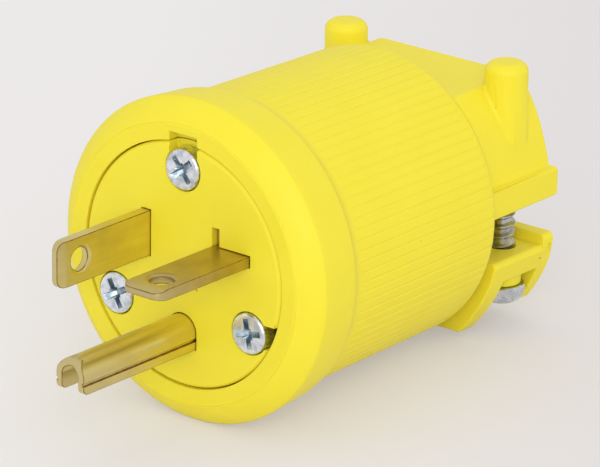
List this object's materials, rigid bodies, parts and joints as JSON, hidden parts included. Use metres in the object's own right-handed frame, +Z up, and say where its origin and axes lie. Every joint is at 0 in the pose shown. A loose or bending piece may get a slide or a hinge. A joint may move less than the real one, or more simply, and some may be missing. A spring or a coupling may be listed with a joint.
{
  "type": "rewirable grounding plug",
  "caption": "Round rewirable plug with upright and flat blades, U-shaped ground pin and a cord clamp drawn up by screws.",
  "frame": {"origin": "centre of the round front face, where the blades come out", "axes": "+Y along the plug's axis towards the cord, +Z up, with the ground pin below the blades, +X to the right seen from the front"},
  "size_m": [0.0449, 0.0786, 0.0448],
  "materials": {
    "nylon": "smooth moulded, yellow",
    "phenolic": "dull moulded",
    "brass": "blanked and rolled",
    "zinc_plated": "bright zinc plate",
    "nickel_plated": "nickel plate",
    "green_screw": "green"
  },
  "bodies": {
    "plug_body": {"housing": "nylon", "face_insert": "nylon", "terminal_block": "phenolic", "wire_guide": "phenolic", "line_blade": "brass", "neutral_blade": "brass", "ground_pin": "brass", "line_screw": "brass", "neutral_screw": "nickel_plated", "ground_screw": "green_screw", "line_plate": "zinc_plated", "neutral_plate": "zinc_plated", "ground_plate": "zinc_plated", "face_screw_top": "zinc_plated", "face_screw_right": "zinc_plated", "face_screw_left": "zinc_plated"},
    "clamp_jaw": {"clamp_jaw": "nylon"},
    "clamp_screw_right": {"clamp_screw_right": "zinc_plated"},
    "clamp_screw_left": {"clamp_screw_left": "zinc_plated"}
  },
  "joints": [
    {"name": "jaw_slide", "type": "slide", "parent": "plug_body", "child": "clamp_jaw", "axis": [0, 0, 1], "range_m": [-0.004, 0.0053]},
    {"name": "clamp_screw_right_turn", "type": "hinge", "parent": "clamp_jaw", "child": "clamp_screw_right", "pos_m": [0.014, 0.0507, 0], "axis": [0, 0, 1], "range_deg": [-1025, 1357]},
    {"name": "clamp_screw_left_turn", "type": "hinge", "parent": "clamp_jaw", "child": "clamp_screw_left", "pos_m": [-0.014, 0.0507, 0], "axis": [0, 0, 1], "range_deg": [-1025, 1357]}
  ],
  "couplings": [
    {"joint": "clamp_screw_right_turn", "follows": "jaw_slide", "rad_per_m": 4456.2},
    {"joint": "clamp_screw_left_turn", "follows": "jaw_slide", "rad_per_m": 4456.2}
  ]
}
